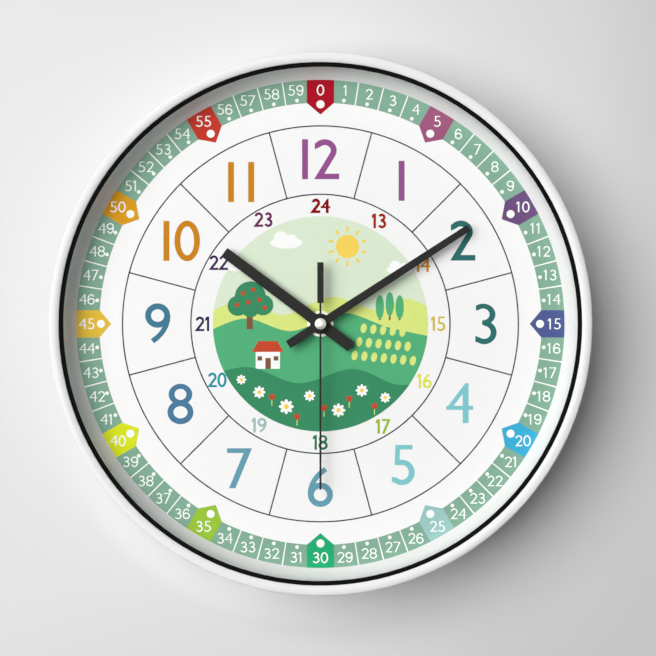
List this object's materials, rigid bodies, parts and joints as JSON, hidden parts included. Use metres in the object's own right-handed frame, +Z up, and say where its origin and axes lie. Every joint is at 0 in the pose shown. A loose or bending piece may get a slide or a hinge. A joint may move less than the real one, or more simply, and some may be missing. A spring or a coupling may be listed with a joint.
{
  "type": "wall clock",
  "caption": "Round quartz wall clock with a white rolled rim, flat pane, printed teaching dial, three coupled hands, gear train, set knob and keyhole hanger.",
  "frame": {"origin": "centre of the hanger keyhole's entry hole, in the wall plane that the rear rim rests on", "axes": "+Y into the wall along the keyhole, +Z up to 12 o'clock, +X to 3 o'clock"},
  "size_m": [0.3, 0.042, 0.3],
  "materials": {
    "case_white": "white satin-gloss moulded plastic",
    "trim_black": "black satin plastic",
    "pane": "clear flat pane",
    "inner_white": "white satin plastic",
    "dial_card": "printed white card",
    "back_white": "white textured plastic",
    "screw_steel": "zinc-plated steel",
    "hanger_steel": "zinc-plated pressed steel",
    "gasket_rubber": "black rubber",
    "washer_metal": "nickel-plated brass",
    "movement_black": "black fine-textured plastic",
    "bridge_plastic": "natural plastic",
    "board_green": "green circuit board",
    "chip_resin": "black resin",
    "motor_iron": "soft iron sheet",
    "winding_copper": "enamelled copper wire",
    "contact_metal": "nickel-plated spring steel",
    "cell_sleeve": null,
    "magnet_grey": "bonded magnet",
    "wheel_plastic": "natural acetal",
    "hand_black": "matt black paint",
    "cap_metal": "satin aluminium",
    "spring_brass": "brass",
    "knob_grey": "grey plastic"
  },
  "bodies": {
    "case": {"bezel": "case_white", "trim_ring": "trim_black", "lens": "pane", "spacer_ring": "inner_white", "dial_sheet": "dial_card", "back_plate": "back_white", "back_screws": "screw_steel", "hanger_box": "back_white", "hanger_plate": "hanger_steel", "hanger_screws": "screw_steel", "gasket": "gasket_rubber", "shaft_washer": "washer_metal", "shaft_nut": "washer_metal", "movement_case": "movement_black", "movement_lid": "movement_black", "train_bridge": "bridge_plastic", "circuit_board": "board_green", "quartz_can": "screw_steel", "chip_cap": "chip_resin", "stator": "motor_iron", "coil_core": "motor_iron", "coil_bobbin": "wheel_plastic", "coil_winding": "winding_copper", "contact_positive": "contact_metal", "contact_negative": "contact_metal"},
    "minute": {"minute_hand": "hand_black", "minute_arbor": "spring_brass", "clutch_wheel": "wheel_plastic", "clutch_spring": "spring_brass"},
    "hour": {"hour_hand": "hand_black", "hour_wheel": "wheel_plastic"},
    "second": {"second_hand": "hand_black", "second_cap": "cap_metal", "second_wheel": "wheel_plastic"},
    "third": {"third_wheel": "wheel_plastic"},
    "intermediate": {"intermediate_wheel": "wheel_plastic"},
    "rotor": {"rotor_magnet": "magnet_grey", "rotor_pinion": "wheel_plastic"},
    "setting": {"motion_wheel": "wheel_plastic", "set_knob": "knob_grey"},
    "cell": {"aa_cell": "cell_sleeve"}
  },
  "joints": [
    {"name": "minute_hand_turn", "type": "hinge", "parent": "case", "child": "minute", "pos_m": [0, 0, -0.095], "axis": [0, 1, 0], "continuous": true},
    {"name": "hour_hand_turn", "type": "hinge", "parent": "case", "child": "hour", "pos_m": [0, 0, -0.095], "axis": [0, 1, 0], "continuous": true},
    {"name": "second_hand_turn", "type": "hinge", "parent": "case", "child": "second", "pos_m": [0, 0, -0.095], "axis": [0, 1, 0], "continuous": true},
    {"name": "third_wheel_turn", "type": "hinge", "parent": "case", "child": "third", "pos_m": [-0.0092, 0, -0.08969], "axis": [0, 1, 0], "continuous": true},
    {"name": "intermediate_wheel_turn", "type": "hinge", "parent": "case", "child": "intermediate", "pos_m": [0.00869, 0, -0.09733], "axis": [0, 1, 0], "continuous": true},
    {"name": "rotor_turn", "type": "hinge", "parent": "case", "child": "rotor", "pos_m": [0.0134, 0, -0.08995], "axis": [0, 1, 0], "continuous": true},
    {"name": "set_knob_turn", "type": "hinge", "parent": "case", "child": "setting", "pos_m": [0.0054, 0, -0.08565], "axis": [0, 1, 0], "continuous": true},
    {"name": "cell_lift", "type": "slide", "parent": "case", "child": "cell", "axis": [0, 1, 0], "range_m": [0, 0.03]}
  ],
  "couplings": [
    {"joint": "hour_hand_turn", "follows": "minute_hand_turn", "ratio": 0.083333},
    {"joint": "second_hand_turn", "follows": "minute_hand_turn", "ratio": 60},
    {"joint": "third_wheel_turn", "follows": "minute_hand_turn", "ratio": -8},
    {"joint": "intermediate_wheel_turn", "follows": "minute_hand_turn", "ratio": -300},
    {"joint": "rotor_turn", "follows": "minute_hand_turn", "ratio": 1800},
    {"joint": "set_knob_turn", "follows": "minute_hand_turn", "ratio": -0.33333}
  ]
}
